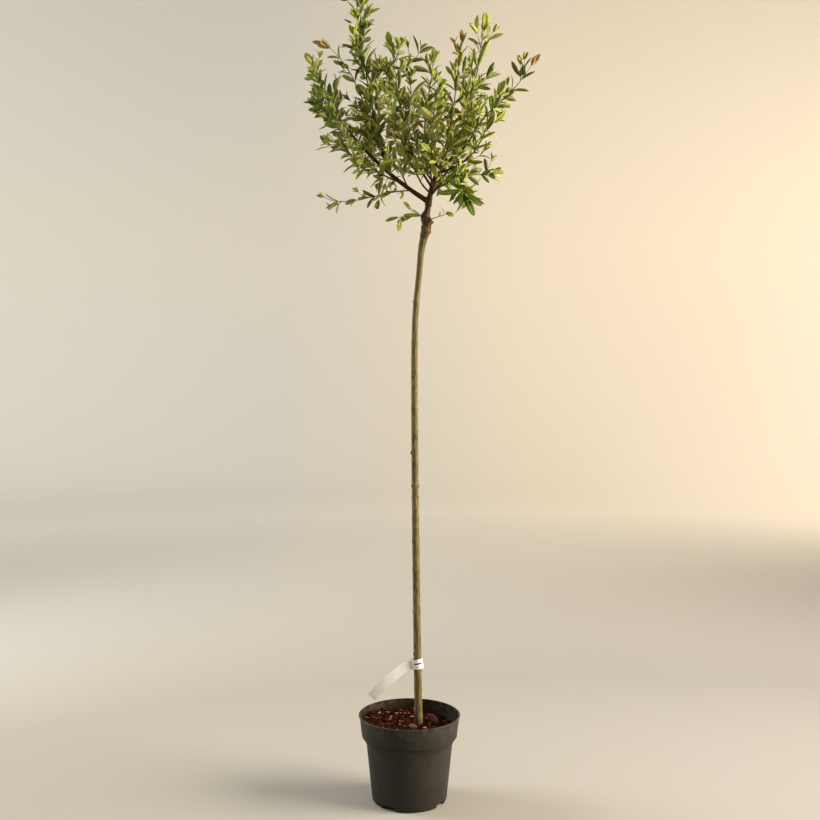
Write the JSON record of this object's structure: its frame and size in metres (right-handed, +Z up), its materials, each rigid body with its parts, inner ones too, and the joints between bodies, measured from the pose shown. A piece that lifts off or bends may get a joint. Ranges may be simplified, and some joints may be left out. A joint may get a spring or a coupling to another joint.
{
  "type": "potted standard dappled willow",
  "caption": "Dappled willow grafted as a standard: bushy open crown of twigs and small oval leaves on a tall bare slightly bent stem, in a round nursery pot of bark substrate",
  "frame": {"origin": "middle of the pot's flat underside, on the surface that the pot stands on", "axes": "+Z is up along the stem, -Y is the front that the picture shows, +X is the picture's right"},
  "size_m": [0.5292, 0.4504, 1.8956],
  "materials": {
    "pot_plastic": "matte moulded recycled plastic",
    "substrate": "loose dark bark chips and peat",
    "stem_bark": "smooth young bark, satin",
    "bough_bark": "brown bark, matte",
    "foliage": "soft green leaf, satin above and duller below",
    "tag_plastic": "white plastic film, satin"
  },
  "bodies": {
    "root": {"pot": "pot_plastic", "substrate": "substrate", "trunk": "stem_bark", "tag": "tag_plastic", "leader": "bough_bark", "bough_left": "bough_bark", "bough_low_left": "bough_bark", "bough_droop_left": "bough_bark", "bough_top_left": "bough_bark", "bough_side_left": "bough_bark", "bough_outer_left": "bough_bark", "bough_low_back": "bough_bark", "bough_centre_left": "bough_bark", "bough_front_left": "bough_bark", "bough_back_left": "bough_bark", "bough_centre": "bough_bark", "bough_front": "bough_bark", "bough_centre_right": "bough_bark", "bough_top_right": "bough_bark", "bough_right": "bough_bark", "bough_far_right": "bough_bark", "bough_droop_right": "bough_bark", "bough_low_right": "bough_bark", "bough_low_back_right": "bough_bark", "bough_back": "bough_bark", "bough_back_right": "bough_bark", "bough_front_right": "bough_bark", "mass_left": "foliage", "mass_low_left": "foliage", "mass_droop_left": "foliage", "mass_top_left": "foliage", "mass_side_left": "foliage", "mass_outer_left": "foliage", "mass_low_back": "foliage", "mass_centre_left": "foliage", "mass_front_left": "foliage", "mass_back_left": "foliage", "mass_centre": "foliage", "mass_front": "foliage", "mass_centre_right": "foliage", "mass_top_right": "foliage", "mass_right": "foliage", "mass_far_right": "foliage", "mass_droop_right": "foliage", "mass_low_right": "foliage", "mass_low_back_right": "foliage", "mass_back": "foliage", "mass_back_right": "foliage", "mass_front_right": "foliage", "sucker_left": "foliage", "sucker_right": "foliage"}
  },
  "joints": []
}
